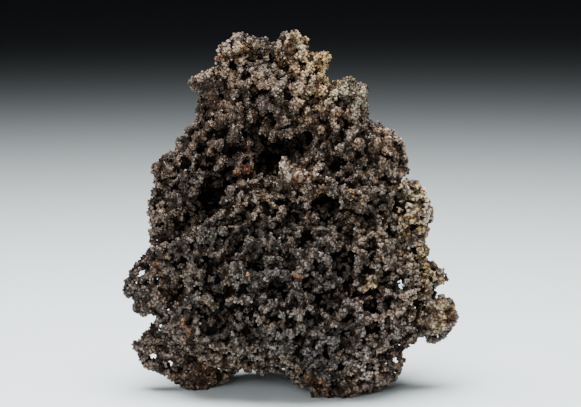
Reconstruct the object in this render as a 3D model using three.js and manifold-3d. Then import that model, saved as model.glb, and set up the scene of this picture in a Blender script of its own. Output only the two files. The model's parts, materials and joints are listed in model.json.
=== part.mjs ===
// A chlorargyrite specimen: one free-standing, spongy mass of intergrown silver chloride crystals.
//
// The crystals grew together from a common core, so the specimen is a single piece and a single mesh.
// Its form is a rough triangle, broad at the base and split into two small summits at the top. The lower
// front steps forward as a terrace, with deep pits behind its rim, and the mass stands on three points.
//
// The solid is the outer form, out to the tips of the crystals: rounded knobs joined into one body,
// less a few deep pits, and cut flat where the specimen touches the surface that it stands on.
//
// Millimetres, +Z up, front towards -Y. The origin is the middle of the bounding box's base.

import * as THREE from 'three';
import { mergeVertices } from 'three/addons/utils/BufferGeometryUtils.js';
import { ImprovedNoise } from 'three/addons/math/ImprovedNoise.js';
import Module from 'manifold-3d';

// Driving dimensions.
const CELL = 1.6; // side of the grid cells that the surface is meshed on
const BLEND = 0.55; // how softly neighbouring knobs run into each other
const ROUGHNESS = 0.5; // how far the surface wanders in and out of the smooth form
const ROUGHNESS_LENGTH = 2.6; // distance over which it wanders
const NECK_FILL = 0.2; // depth given to a grid point that is filled to close a one-cell neck
const FOOT_CUT = 0.5; // how much of the lowest tips is cut off flat
const SLAB = 120; // side of the block that makes that cut

// Each region is a list of knobs: x, y, z of the centre, then the radius.
const regions = {
  // Two summits, with a saddle between them.
  crown: [
    [-8.2, 4.0, 50.9, 3.4],
    [-5.0, 5.5, 48.6, 3.3],
    [-2.4, 5.0, 48.0, 3.0],
    [0.0, 3.0, 51.4, 3.2],
    [2.4, 4.5, 48.8, 2.9],
    [4.9, 4.0, 49.4, 1.9],
    [-3.8, 1.0, 44.8, 5.2],
    [1.4, 2.0, 44.3, 4.7],
    [-2.0, 9.0, 45.0, 4.6],
    [3.2, 9.0, 43.0, 4.4],
    [-7.2, 8.2, 43.4, 4.4],
  ],
  // Knobs that step outwards below the summits.
  shoulders: [
    [-13.1, 3.0, 46.3, 2.5],
    [-10.4, 1.6, 46.9, 2.8],
    [-11.7, 2.5, 41.6, 3.1],
    [-8.0, -0.5, 40.0, 4.2],
    [8.6, 3.0, 44.0, 2.7],
    [9.7, 4.0, 43.2, 2.2],
    [6.6, 0.5, 40.8, 4.2],
    [1.0, -0.8, 39.4, 4.4],
    [-14.0, 0.5, 37.5, 3.4],
    [-17.8, 0.0, 33.2, 3.2],
    [-11.2, -1.2, 34.8, 4.6],
    [14.0, 1.0, 37.0, 3.1],
    [14.9, 0.0, 33.0, 3.0],
    [11.0, -1.4, 36.2, 4.0],
    [5.0, -1.0, 35.8, 4.2],
    [-10.6, 8.6, 38.0, 4.6],
    [-15.2, 5.6, 34.0, 4.0],
    [9.8, 8.8, 37.4, 4.8],
    [13.4, 6.0, 33.8, 4.2],
  ],
  // The two sides, with the thin branch at the lower left and the knobs at the lower right.
  flanks: [
    [-18.4, -1.0, 27.2, 3.1],
    [-18.2, -1.0, 23.4, 3.1],
    [18.4, -1.0, 27.6, 3.3],
    [17.6, -1.0, 22.6, 3.2],
    [18.4, 0.0, 18.8, 2.6],
    [21.8, 1.0, 17.6, 1.9],
    [20.2, 0.0, 15.0, 2.8],
    [22.4, 0.0, 11.4, 2.8],
    [21.2, 0.0, 9.4, 2.4],
    [17.0, -2.0, 10.0, 3.5],
    [-21.2, -1.0, 19.4, 1.8],
    [-23.0, -1.5, 17.4, 1.5],
    [-23.8, -2.0, 15.4, 1.5],
    [-22.2, -2.4, 14.4, 1.7],
    [-18.9, -2.0, 17.6, 3.4],
    [-20.2, -3.0, 14.2, 3.2],
    [-17.0, -4.0, 11.2, 3.0],
    [-21.0, -1.0, 6.6, 2.9],
    [-18.0, -1.0, 5.2, 3.2],
    [17.4, 6.0, 24.0, 4.6],
    [18.4, 5.6, 16.4, 4.2],
    [-17.6, 6.0, 24.4, 4.6],
    [-16.6, 5.0, 15.4, 4.2],
    [-15.6, 4.6, 8.6, 3.6],
  ],
  // The lower front, which stands forward of the upper mass.
  terrace: [
    [-0.3, -7.6, 33.2, 1.5],
    [0.8, -7.2, 31.6, 1.8],
    [4.0, -6.4, 33.0, 2.1],
    [6.8, -4.6, 34.0, 2.4],
    [-2.4, -8.4, 29.8, 2.2],
    [-6.4, -8.0, 29.2, 2.8],
    [-4.0, -9.6, 26.2, 2.8],
    [-9.4, -8.2, 26.4, 2.9],
    [1.4, -9.2, 29.2, 3.0],
    [7.4, -7.4, 29.4, 3.0],
    [11.6, -5.6, 29.8, 3.6],
    [-13.6, -7.0, 23.8, 3.1],
    [-16.6, -6.0, 20.8, 3.1],
    [-11.4, -9.6, 19.2, 4.6],
    [-4.6, -10.6, 21.0, 5.2],
    [3.0, -10.8, 21.6, 5.2],
    [10.4, -8.8, 22.0, 5.0],
    [14.8, -6.0, 17.4, 4.4],
    [-13.6, -8.4, 11.4, 4.6],
    [-6.8, -10.6, 12.4, 5.0],
    [0.0, -11.6, 13.2, 5.2],
    [6.6, -10.8, 13.2, 5.2],
    [11.8, -8.2, 11.4, 4.6],
  ],
  // The lower edge, with the low arch between the left foot and the front right foot.
  skirt: [
    [-10.6, -6.4, 8.0, 3.6],
    [-7.6, -3.6, 7.2, 3.1],
    [-4.4, -5.2, 6.4, 3.0],
    [1.8, -5.6, 4.4, 2.8],
    [1.4, -8.8, 8.0, 3.8],
    [8.8, -7.6, 7.4, 4.0],
    [15.8, -3.6, 6.6, 2.0],
    [14.2, -3.6, 4.0, 2.3],
    [11.0, -4.6, 3.6, 3.0],
    [11.0, 4.0, 7.6, 4.2],
    [-11.6, 4.6, 7.4, 4.0],
  ],
  feet: [
    [-14.8, 0.2, 2.5, 3.0],
    [-11.2, -1.0, 3.4, 2.5],
    [7.6, -5.4, 2.7, 3.3],
    [4.4, -5.6, 2.0, 2.5],
    [1.6, 11.0, 2.7, 3.2],
    [5.6, 9.6, 3.6, 3.0],
  ],
  // The back, which swells less than the front.
  back: [
    [-3.6, 12.0, 33.4, 4.8],
    [4.4, 12.2, 31.8, 5.0],
    [-10.4, 11.0, 29.0, 4.8],
    [11.4, 10.8, 28.2, 4.8],
    [-4.8, 13.6, 25.6, 5.0],
    [3.0, 13.8, 23.8, 5.2],
    [-12.4, 11.2, 20.4, 5.0],
    [10.8, 12.0, 19.4, 5.2],
    [-5.4, 13.4, 16.4, 5.0],
    [3.2, 13.4, 14.4, 5.2],
    [-12.0, 9.6, 11.8, 4.6],
    [11.4, 9.0, 11.2, 4.6],
    [-3.4, 11.8, 8.4, 4.4],
    [4.6, 11.2, 7.4, 4.0],
  ],
  // The thick middle that carries all the others.
  middle: [
    [-3.0, 4.0, 37.0, 8.0],
    [4.0, 4.0, 35.0, 8.0],
    [-8.0, 2.0, 27.0, 9.6],
    [7.0, 2.0, 27.0, 9.6],
    [-8.0, 1.0, 16.5, 10.0],
    [7.5, 1.0, 16.5, 10.4],
    [0.0, 2.0, 20.0, 11.4],
  ],
};

// Deep pits, in the same form. The first three are one slanting cleft behind the terrace's rim.
const pits = [
  [-3.4, -5.6, 34.2, 2.3],
  [-0.6, -5.0, 36.0, 2.2],
  [2.4, -4.6, 37.6, 2.1],
  [-12.0, -7.2, 29.0, 2.2],
  [-16.2, -6.0, 26.2, 2.1],
  [5.4, -9.8, 29.6, 2.1],
  [8.2, -14.6, 17.4, 2.6],
  [-6.6, 17.0, 21.0, 2.2],
  [8.0, 16.4, 25.0, 2.1],
];

const noise = new ImprovedNoise();
const wasm = await Module();
wasm.setup();

// The largest of some depths, rounded off where two of them are nearly the same.
function softLargest(depths) {
  return BLEND * Math.log(depths.reduce((sum, depth) => sum + Math.exp(depth / BLEND), 0));
}

// How deep a point lies inside a list of knobs: positive inside and negative outside.
function depthIn(knobs, point) {
  return softLargest(knobs.map(([x, y, z, radius]) => radius - Math.hypot(point.x - x, point.y - y, point.z - z)));
}

const knobs = Object.values(regions).flat();

// The same for the whole mass, with its pits taken out and its surface roughened.
function depthAt(point) {
  const at = point.clone().divideScalar(ROUGHNESS_LENGTH);
  const rough = ROUGHNESS * noise.noise(at.x, at.y, at.z);
  return rough - softLargest([-depthIn(knobs, point), depthIn(pits, point)]);
}

// The grid that covers every knob, with a spare layer all round.
function gridRound(list) {
  const box = new THREE.Box3();
  for (const [x, y, z, radius] of list) {
    const centre = new THREE.Vector3(x, y, z);
    box.union(new THREE.Box3(centre.clone().subScalar(radius), centre.clone().addScalar(radius)));
  }
  box.expandByScalar(2 * CELL);
  const cells = box.getSize(new THREE.Vector3()).divideScalar(CELL).ceil();
  return { origin: box.min, cells };
}

// Where only two opposite corners of a grid square are inside, the surface would touch itself along an edge.
// Filling a third corner keeps it one clean skin. Each filling can make another such square, hence the loop.
function fillNecks(values, steps) {
  const squares = [[steps[0], steps[1]], [steps[1], steps[2]], [steps[2], steps[0]]];
  const inside = (index) => values[index] > 0;
  let filledAny = true;
  while (filledAny) {
    filledAny = false;
    for (let i = 0; i < values.length; i++) {
      for (const [u, v] of squares) {
        const opposite = inside(i) === inside(i + u + v) && inside(i + u) === inside(i + v);
        if (!opposite || inside(i) === inside(i + u)) continue;
        values[inside(i) ? i + u : i] = NECK_FILL;
        filledAny = true;
      }
    }
  }
}

// Surface nets: a vertex in each cell that the surface passes through, at the middle of the points where it
// crosses the cell's edges, and a quad round each grid edge that it crosses.
function surfaceOf(depth, { origin, cells }) {
  const across = cells.x + 1;
  const layer = across * (cells.y + 1);
  const steps = [1, across, layer];
  const values = new Float32Array(layer * (cells.z + 1));
  const cornerAt = (index) =>
    new THREE.Vector3(index % across, Math.floor((index % layer) / across), Math.floor(index / layer));
  const placeOf = (corner) => corner.clone().multiplyScalar(CELL).add(origin);
  for (let i = 0; i < values.length; i++) values[i] = depth(placeOf(cornerAt(i)));

  fillNecks(values, steps);

  // Every grid edge that the surface crosses, and the sum of those crossings in each of the four cells round it.
  const crossings = [];
  const cellSums = new Map();
  for (let i = 0; i < values.length; i++) {
    const corner = cornerAt(i);
    for (let axis = 0; axis < 3; axis++) {
      const next = i + steps[axis];
      if (corner.getComponent(axis) === cells.getComponent(axis) || values[i] > 0 === values[next] > 0) continue;
      const share = values[i] / (values[i] - values[next]);
      const point = corner.clone();
      point.setComponent(axis, point.getComponent(axis) + share);
      const [u, v] = [steps[(axis + 1) % 3], steps[(axis + 2) % 3]];
      const round = [i - u - v, i - v, i, i - u]; // a right-handed turn about the edge
      for (const cell of round) {
        if (!cellSums.has(cell)) cellSums.set(cell, { sum: new THREE.Vector3(), count: 0 });
        const entry = cellSums.get(cell);
        entry.sum.add(point);
        entry.count += 1;
      }
      crossings.push(values[i] > 0 ? round : round.reverse());
    }
  }

  const positions = [];
  const vertexOf = new Map();
  for (const [cell, { sum, count }] of cellSums) {
    vertexOf.set(cell, positions.length / 3);
    positions.push(...placeOf(sum.divideScalar(count)));
  }
  const triangles = crossings.flatMap((round) => {
    const [a, b, c, d] = round.map((cell) => vertexOf.get(cell));
    return [a, b, c, a, c, d];
  });
  const geometry = new THREE.BufferGeometry();
  geometry.setAttribute('position', new THREE.Float32BufferAttribute(positions, 3));
  geometry.setIndex(triangles);
  return geometry;
}

// A closed three.js geometry as a manifold-3d solid.
function solidOf(geometry) {
  const bare = geometry.clone();
  bare.deleteAttribute('normal');
  bare.deleteAttribute('uv');
  const merged = mergeVertices(bare);
  return new wasm.Manifold(
    new wasm.Mesh({
      numProp: 3,
      vertProperties: merged.attributes.position.array,
      triVerts: new Uint32Array(merged.index.array),
    }),
  );
}

// A manifold-3d solid as a three.js geometry.
function geometryOf(solid) {
  const mesh = solid.getMesh();
  const geometry = new THREE.BufferGeometry();
  geometry.setAttribute('position', new THREE.BufferAttribute(mesh.vertProperties, 3));
  geometry.setIndex(new THREE.BufferAttribute(mesh.triVerts, 1));
  return geometry;
}

// The outer skin of a solid, filled: gaps sealed in between the knobs become part of the mass.
function filled(solid) {
  return solid.decompose().reduce((largest, part) => (part.volume() > largest.volume() ? part : largest));
}

// The whole mass, cut flat under its lowest tips and placed over the origin.
function crystalMassGeometry() {
  const ground = new THREE.BoxGeometry(SLAB, SLAB, SLAB).translate(0, 0, FOOT_CUT - SLAB / 2);
  const mass = filled(solidOf(surfaceOf(depthAt, gridRound(knobs)))).subtract(solidOf(ground));
  const geometry = geometryOf(mass);
  geometry.computeBoundingBox();
  const middle = geometry.boundingBox.getCenter(new THREE.Vector3());
  geometry.translate(-middle.x, -middle.y, -geometry.boundingBox.min.z);
  geometry.computeVertexNormals();
  return geometry;
}

const crystalMass = new THREE.Mesh(
  crystalMassGeometry(),
  new THREE.MeshStandardMaterial({ color: 0x5b524b, roughness: 0.55, metalness: 0.0 }),
);
crystalMass.name = 'crystal_mass';

const specimen = new THREE.Group();
specimen.name = 'chlorargyrite_specimen';
specimen.add(crystalMass);

export default specimen;
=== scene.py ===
# %% [markdown]
# # A chlorargyrite specimen
#
# The real object is one spongy mass of silver chloride. Thousands of small rounded crystals grew together
# into beads, the beads into branches, and the branches into a rough triangle with two summits.
#
# The frame gives its outer form as one closed solid. This script turns that into what it stands for: first
# the porous branches, and then the crystals that stand on them.

# %% Load the frame
import json
import math
from functools import partialmethod

import bmesh
import bpy
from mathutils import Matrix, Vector
from mathutils.bvhtree import BVHTree

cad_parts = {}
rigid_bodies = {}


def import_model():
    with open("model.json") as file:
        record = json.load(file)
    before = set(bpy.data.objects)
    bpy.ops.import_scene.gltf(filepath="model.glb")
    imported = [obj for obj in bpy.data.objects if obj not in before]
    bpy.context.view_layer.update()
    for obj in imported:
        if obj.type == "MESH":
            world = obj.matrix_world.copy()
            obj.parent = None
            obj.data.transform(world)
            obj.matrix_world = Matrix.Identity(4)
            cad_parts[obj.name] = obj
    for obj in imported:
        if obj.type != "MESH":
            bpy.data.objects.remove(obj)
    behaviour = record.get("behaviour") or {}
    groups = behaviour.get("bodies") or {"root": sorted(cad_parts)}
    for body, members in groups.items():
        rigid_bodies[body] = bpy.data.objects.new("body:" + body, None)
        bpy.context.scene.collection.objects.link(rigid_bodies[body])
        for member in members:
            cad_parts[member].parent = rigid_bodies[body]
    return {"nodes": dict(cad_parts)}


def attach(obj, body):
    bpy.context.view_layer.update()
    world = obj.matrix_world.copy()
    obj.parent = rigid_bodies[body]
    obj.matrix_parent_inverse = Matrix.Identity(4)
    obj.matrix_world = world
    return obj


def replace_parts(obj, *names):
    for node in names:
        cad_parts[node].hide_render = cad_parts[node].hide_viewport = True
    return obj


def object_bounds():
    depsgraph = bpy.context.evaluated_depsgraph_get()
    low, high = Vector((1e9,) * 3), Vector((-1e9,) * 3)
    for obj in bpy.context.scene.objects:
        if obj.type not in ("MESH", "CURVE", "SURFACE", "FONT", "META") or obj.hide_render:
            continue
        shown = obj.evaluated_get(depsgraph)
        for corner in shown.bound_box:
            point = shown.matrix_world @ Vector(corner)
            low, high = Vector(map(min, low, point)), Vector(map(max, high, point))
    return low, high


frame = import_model()
cad_box = [list(corner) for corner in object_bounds()]
envelope_node = frame["nodes"]["crystal_mass"]
MM = 0.001  # the frame is in metres, and every length below is written in millimetres
print("outer form, in mm:", [[round(v / MM, 1) for v in corner] for corner in cad_box])


def put_in_scene(name, data):
    made = bpy.data.objects.new(name, data)
    bpy.context.scene.collection.objects.link(made)
    return made


# %% [markdown]
# ## Camera
#
# A small specimen is usually shown with a long lens from slightly above, so its front is seen square on.

# %% Camera
LOOK_AT = Vector((-0.07, 0.0, 28.0)) * MM
CAMERA_DISTANCE = 360.0 * MM
CAMERA_ELEVATION = math.radians(7.0)
LENS = 148.7  # with the usual 36 mm sensor

camera_data = bpy.data.cameras.new("camera")
camera_data.lens = LENS
camera = put_in_scene("camera", camera_data)
toward_camera = Vector((0.0, -math.cos(CAMERA_ELEVATION), math.sin(CAMERA_ELEVATION)))
camera.location = LOOK_AT + CAMERA_DISTANCE * toward_camera
camera.rotation_euler = (math.pi / 2 - CAMERA_ELEVATION, 0.0, 0.0)
bpy.context.scene.camera = camera

# %% [markdown]
# ## Light and floor
#
# A large soft light overhead gives the crystals bright upper sides and dark undersides, and a weaker one in
# front opens the shadows a little. The overhead light is low, so the floor is dark far behind.

# %% Lights


def add_area_light(name, place, aim, size, power, spread):
    """A square light at place, turned towards aim, in mm. Its power is in watts and its spread in degrees."""
    data = bpy.data.lights.new(name, "AREA")
    data.size = size * MM
    data.energy = power
    data.spread = math.radians(spread)
    light = put_in_scene(name, data)
    light.location = Vector(place) * MM
    direction = (Vector(aim) - Vector(place)).normalized()
    light.rotation_euler = direction.to_track_quat("-Z", "Y").to_euler()


add_area_light("overhead", place=(-20, -20, 310), aim=(0, -10, 0), size=300, power=2.6, spread=140)
add_area_light("front", place=(-60, -420, 150), aim=(0, 0, 10), size=160, power=0.18, spread=60)

world = bpy.data.worlds.new("dim room")
world.use_nodes = True
background = world.node_tree.nodes["Background"].inputs
background["Color"].default_value = (0.5, 0.53, 0.56, 1.0)
background["Strength"].default_value = 0.011
bpy.context.scene.world = world

# %% Floor
FLOOR_SIDE = 6000.0 * MM

floor_mesh = bpy.data.meshes.new("floor")
half = FLOOR_SIDE / 2
corners = [(-half, -half, 0), (half, -half, 0), (half, half, 0), (-half, half, 0)]
floor_mesh.from_pydata(corners, [], [(0, 1, 2, 3)])
floor = put_in_scene("floor", floor_mesh)
floor_material = bpy.data.materials.new("pale floor")
floor_material.use_nodes = True
floor_shader = floor_material.node_tree.nodes["Principled BSDF"].inputs
floor_shader["Base Color"].default_value = (0.785, 0.87, 0.9, 1.0)
floor_shader["Roughness"].default_value = 0.7
floor_mesh.materials.append(floor_material)

# %% [markdown]
# ## A short way to write node trees
#
# Building a tree takes a few kinds of step: add a node, give its inputs a value or a link, and take its
# output. These helpers make each step one short call.

# %% Helpers for all node trees


def enabled(sockets, name=None):
    """The first socket in use, or the first of a name."""
    return next(s for s in sockets if s.enabled and name in (None, s.name))


class Tree:
    """A node group with short calls. Any input can be given a number, a vector or another node's output."""

    kind = "ShaderNodeTree"
    group_kind = "ShaderNodeGroup"

    def __init__(self, name, inputs, outputs):
        """Inputs and outputs are given as labels by the type of their sockets."""
        self.group = bpy.data.node_groups.new(name, self.kind)
        for direction, sockets in (("INPUT", inputs), ("OUTPUT", outputs)):
            for kind, labels in sockets.items():
                for label in labels.split(", "):
                    self.group.interface.new_socket(label, in_out=direction, socket_type="NodeSocket" + kind)
        self.inside = self.group.nodes.new("NodeGroupInput").outputs
        self.result = self.group.nodes.new("NodeGroupOutput").inputs

    def __getitem__(self, label):
        """One of the inputs, as seen from inside the group."""
        return self.inside[label]

    def add(self, kind, values=None, **settings):
        line, column = divmod(len(self.group.nodes), 12)
        node = self.group.nodes.new(kind)
        node.location = (180 * column, -260 * line)
        for name, value in settings.items():
            setattr(node, name, value)
        for name, value in (values or {}).items():
            self.feed(node.inputs[name], value)
        return node

    def out(self, kind, values=None, **settings):
        return self.add(kind, values, **settings).outputs[0]

    def feed(self, socket, value):
        if isinstance(value, bpy.types.NodeSocket):
            self.group.links.new(value, socket)
        else:
            socket.default_value = value

    def filled(self, node, *values):
        """The node, with values for its first inputs that are in use."""
        for socket, value in zip([s for s in node.inputs if s.enabled], values):
            self.feed(socket, value)
        return node

    def math(self, operation, first, *others):
        """An operation on one value, or on the first and each of the others in turn."""
        node = self.filled(self.add("ShaderNodeMath", operation=operation), first, *others[:1])
        return self.math(operation, node.outputs[0], *others[1:]) if others[1:] else node.outputs[0]

    plus = partialmethod(math, "ADD")
    minus = partialmethod(math, "SUBTRACT")
    times = partialmethod(math, "MULTIPLY")
    over = partialmethod(math, "DIVIDE")

    def vector(self, operation, *values):
        node = self.filled(self.add("ShaderNodeVectorMath", operation=operation), *values)
        return enabled(node.outputs)

    def scaled(self, vector, factor):
        values = {"Vector": vector, "Scale": factor}
        return self.out("ShaderNodeVectorMath", values, operation="SCALE")

    def ramped(self, value, low, high, at_low=0.0, at_high=1.0, smooth=True):
        """From at_low where the value is low to at_high where it is high, and no further."""
        values = {"Value": value, "From Min": low, "From Max": high, "To Min": at_low, "To Max": at_high}
        kind = "SMOOTHSTEP" if smooth else "LINEAR"
        return self.out("ShaderNodeMapRange", values, interpolation_type=kind)

    def mixed(self, share, a, b, kind="MIX"):
        """The colour a with a share of b mixed in, or multiplied in."""
        node = self.add("ShaderNodeMix", data_type="RGBA", blend_type=kind)
        return enabled(self.filled(node, share, a, b).outputs)

    def noise(self, vector, size, detail=2.0):
        """Smooth noise from about 0 to 1, with features about size across."""
        values = {"Vector": vector, "Scale": self.over(1.0, size), "Detail": detail}
        return self.add("ShaderNodeTexNoise", values).outputs["Fac"]

    def height_of(self, place):
        return self.add("ShaderNodeSeparateXYZ", {"Vector": place}).outputs["Z"]

    def group_node(self, other, **values):
        """The outputs of another tree's group, put into this one."""
        node = self.add(self.group_kind)
        node.node_tree = other.group
        for name, value in values.items():
            self.feed(node.inputs[name.replace("_", " ")], value)
        return node.outputs


# %% Helpers for Geometry Nodes


GEOMETRY = {"Geometry": "Geometry"}  # the geometry that a tree is run on, or that it returns


class GeometryTree(Tree):
    kind = "GeometryNodeTree"
    group_kind = "GeometryNodeGroup"

    def here(self):
        """The place of each point, or of each cell where a volume is filled."""
        return self.out("GeometryNodeInputPosition")

    def compare(self, operation, a, b):
        return self.out("FunctionNodeCompare", {"A": a, "B": b}, operation=operation)

    def boolean(self, operation, a, b):
        return self.filled(self.add("FunctionNodeBooleanMath", operation=operation), a, b).outputs[0]

    def random(self, low, high, seed):
        """A random number for each element, or a vector or a whole number where low is one."""
        kind = {tuple: "FLOAT_VECTOR", int: "INT", float: "FLOAT"}[type(low)]
        node = self.add("FunctionNodeRandomValue", data_type=kind)
        node.inputs["Seed"].default_value = seed
        return enabled(self.filled(node, low, high).outputs)

    def attribute(self, name, kind="FLOAT"):
        node = self.add("GeometryNodeInputNamedAttribute", {"Name": name}, data_type=kind)
        return enabled(node.outputs, "Attribute")

    def stored(self, geometry, name, value, kind="FLOAT", domain="POINT"):
        """The geometry with a value kept on it under a name."""
        values = {"Geometry": geometry, "Name": name}
        node = self.add("GeometryNodeStoreNamedAttribute", values, data_type=kind, domain=domain)
        self.feed(enabled(node.inputs, "Value"), value)
        return node.outputs[0]

    def sampled(self, geometry, value, index, kind="FLOAT"):
        """A value as it is at one point of another geometry."""
        values = {"Geometry": geometry, "Index": index}
        node = self.add("GeometryNodeSampleIndex", values, data_type=kind, domain="POINT")
        self.feed(enabled(node.inputs, "Value"), value)
        return enabled(node.outputs)

    def nearest_point(self, geometry, place):
        values = {"Geometry": geometry, "Sample Position": place}
        return self.out("GeometryNodeSampleNearest", values, domain="POINT")

    def raycast(self, geometry, start, direction, reach):
        """What a ray from start hits, if anything within reach."""
        values = {"Target Geometry": geometry, "Source Position": start, "Ray Direction": direction}
        return self.add("GeometryNodeRaycast", values | {"Ray Length": reach}).outputs

    def shape_of(self, name):
        """The geometry of the object that an input is given."""
        return self.add("GeometryNodeObjectInfo", {"Object": self[name]}).outputs["Geometry"]

    def without(self, geometry, selection, domain="POINT"):
        values = {"Geometry": geometry, "Selection": selection}
        return self.out("GeometryNodeDeleteGeometry", values, domain=domain)

    def realized(self, geometry):
        return self.out("GeometryNodeRealizeInstances", {"Geometry": geometry})


# %% Running a geometry tree


def grown(tree, base, name, **values):
    """Runs a geometry tree on an object's mesh and returns the result as a plain mesh object."""
    host = put_in_scene(name + " host", base.data)
    modifier = host.modifiers.new(name, "NODES")
    modifier.node_group = tree.group
    for item in tree.group.interface.items_tree:
        label = item.name.replace(" ", "_")
        if item.in_out == "INPUT" and label in values:
            modifier[item.identifier] = values[label]
    evaluated = host.evaluated_get(bpy.context.evaluated_depsgraph_get())
    mesh = bpy.data.meshes.new_from_object(evaluated)
    mesh.name = name
    bpy.data.objects.remove(host)
    return put_in_scene(name, mesh)


# %% [markdown]
# ## The outer form, its hollows and its lumps
#
# The frame's solid arrives as loose triangles, so a copy of it is merged into one closed skin, from which
# distances can be measured. Points, each with a radius, mark what the solid smooths over. Some mark hollows:
# pits, holes and notches. Others mark lumps, which stand out from the skin or close a gap.

# %% The closed skin
envelope = put_in_scene("outer form", envelope_node.data.copy())
closing_tree = GeometryTree("Closed skin", GEOMETRY, GEOMETRY)
t = closing_tree
SAME_PLACE = 0.001 * MM
values = {"Geometry": t["Geometry"], "Distance": SAME_PLACE}
t.feed(t.result["Geometry"], t.out("GeometryNodeMergeByDistance", values))
skin = grown(closing_tree, envelope, "closed_skin")
bpy.data.objects.remove(envelope)
print("closed skin:", len(skin.data.vertices), "vertices,", len(skin.data.polygons), "faces")

# %% Finding the surface and making marks
FAR = 60.0  # in mm, farther than any way through the mass
skin_faces = BVHTree.FromPolygons(
    [vertex.co[:] for vertex in skin.data.vertices], [face.vertices[:] for face in skin.data.polygons]
)


def surface_at(x, z, from_back=False):
    """How far along Y the outer form begins at x and z, in mm, seen from the front or the back."""
    side = 1.0 if from_back else -1.0
    found = skin_faces.ray_cast(Vector((x, side * FAR, z)) * MM, Vector((0.0, -side, 0.0)))[0]
    return found.y / MM if found else 0.0


def marks_object(name, marks):
    """Points as the vertices of a mesh. Each mark is x, y, z and radius, in mm."""
    mesh = bpy.data.meshes.new(name)
    mesh.from_pydata([Vector(mark[:3]) * MM for mark in marks], [], [])
    radius = mesh.attributes.new("radius", "FLOAT", "POINT")
    radius.data.foreach_set("value", [mark[3] * MM for mark in marks])
    return put_in_scene(name, mesh)


# %% Hollows
# x, z, radius and, unless it is 1.5, depth of the pits in the front, in mm. First comes the main cleft.
FRONT_PITS = [
    (-3.9, 33.4, 1.4, 5), (-3.1, 34.4, 1.9, 6), (-4.3, 37.3, 1.4, 3), (-1.8, 35.9, 1.8, 6),
    (0.3, 36.8, 1.7, 5), (1.9, 38, 1.4, 4), (-11.6, 30.4, 1.8, 4.5), (-11.7, 28.5, 1.7, 4),
    (-13.1, 27.2, 1.2, 3), (-14.8, 25.6, 0.9), (-16.4, 24.8, 0.9), (-18.2, 24, 0.9), (-19.8, 23.2, 0.9),
    (-7.9, 23.8, 1.2, 2.5), (-11.7, 20.7, 1.4, 2.5), (-16.5, 20.4, 1.1), (-4.9, 21.3, 1.1, 2),
    (0.7, 28.2, 1.4, 2.5), (4.8, 29.3, 1.3, 4), (6.2, 28.3, 1.2, 4), (7.5, 20.4, 1.8, 3.5),
    (7.5, 23.2, 1.1, 2), (4.2, 20.4, 1.1), (2.3, 24.6, 1.1), (-0.1, 21.5, 1.1), (2.6, 18, 1.1, 2),
    (4.5, 15.7, 1.4, 2), (-2.2, 17.4, 1.4, 2), (-15.6, 16.8, 1.2), (-12, 17.5, 1.1), (-12.5, 13.4, 1.1),
    (-10, 12.2, 1.4, 2), (-10, 9.8, 1.1), (-5.2, 11.4, 1.1), (-6.9, 9.7, 0.8), (-5.6, 9.7, 0.8),
    (-4.2, 9.6, 0.8), (1.3, 9.7, 0.9), (7.8, 9.3, 1.1), (8.8, 12, 1.4, 2), (7.5, 4.5, 0.9),
    (12.2, 11.3, 1.2), (18.2, 12.6, 1.2), (13.7, 14.2, 1.1), (11.5, 14.7, 1.1), (8.6, 16.5, 1.1, 2),
    (-6.3, 14.2, 1.1), (7.9, 44, 1.2), (-6, 39.3, 1.4, 2.5), (-5.3, 44.7, 0.9), (-2.7, 50.2, 0.6),
    (-2.3, 48.9, 0.6), (-2, 47.6, 0.6), (1.3, 41, 0.9), (-12.6, 34.5, 1.4, 2), (-9.7, 32.6, 1.2, 2),
    (11.8, 26.6, 1.3, 2), (13.4, 29, 1.2, 2), (8.1, 24.9, 1.3, 2), (6.5, 34.6, 1.2, 2), (15.9, 16.6, 1.2, 2),
]
# The same for the back.
BACK_PITS = [
    (-6.6, 21, 2, 3), (8, 25, 2, 3), (0.4, 12.6, 1.5, 2), (-12.6, 14.8, 1.5, 2), (2.6, 35.2, 1.5, 2),
    (-8, 33, 1.4, 2), (12, 16, 1.4, 2), (4, 18, 1.3), (-2, 27, 1.4, 2), (-15, 24, 1.2), (-3, 42, 1.2),
    (13, 27, 1.2), (6, 8, 1.3),
]
# x, z and radius of the holes that go through from front to back.
HOLES = [
    (-22.3, 17.5, 0.4), (-23, 16, 0.4), (-18.3, 12, 0.35), (-20.8, 4.9, 0.6), (-18.1, 3.9, 0.5),
    (-10.9, 3.1, 0.35), (15.4, 4.6, 0.45), (14.2, 3.9, 0.35), (16.5, 15.3, 0.3), (14.1, 11.4, 0.2),
]
# The same for notches in the outline.
NOTCHES = [
    (5.1, 52, 1.2), (-2.4, 53.2, 0.8), (6, 47.7, 1), (12.4, 43.2, 1), (12.4, 45.4, 0.6), (13.8, 41.2, 0.7),
    (22.2, 23.6, 0.9), (22, 21.6, 0.9), (24.3, 16.8, 0.7), (21.2, 22.4, 0.9), (22.9, 15, 0.7),
    (19.5, 6.5, 0.8), (18.6, 5.4, 1.4), (17.8, 3.6, 1.2), (17.4, 2, 1), (-11.4, 52.2, 0.9),
    (-9.6, 53.4, 0.9), (-12.1, 49.3, 0.8), (6.5, 51, 0.7), (6.4, 48.7, 0.7), (12.7, 41.9, 0.6),
    (21.3, 23.6, 0.8), (19.5, 7.1, 0.8), (17, 5.3, 0.6), (18.9, 6.6, 0.7), (-20.5, 1.9, 0.7),
    (-15.3, 40.4, 0.8), (-18.9, 36.2, 0.8), (-14.3, 44.3, 0.6), (2.1, 0, 0.9),
]
MARK_STEP = 0.5  # from one mark of a pit or a hole to the next
HOLE_REACH = 12.0  # how far the marks of a hole run, in front and behind


def pit_marks(x, z, radius, depth=1.5, from_back=False):
    """A row of marks from the surface inward, along Y."""
    inward = -1.0 if from_back else 1.0
    start = surface_at(x, z, from_back)
    return [(x, start + inward * MARK_STEP * i, z, radius) for i in range(int(depth / MARK_STEP) + 1)]


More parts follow.
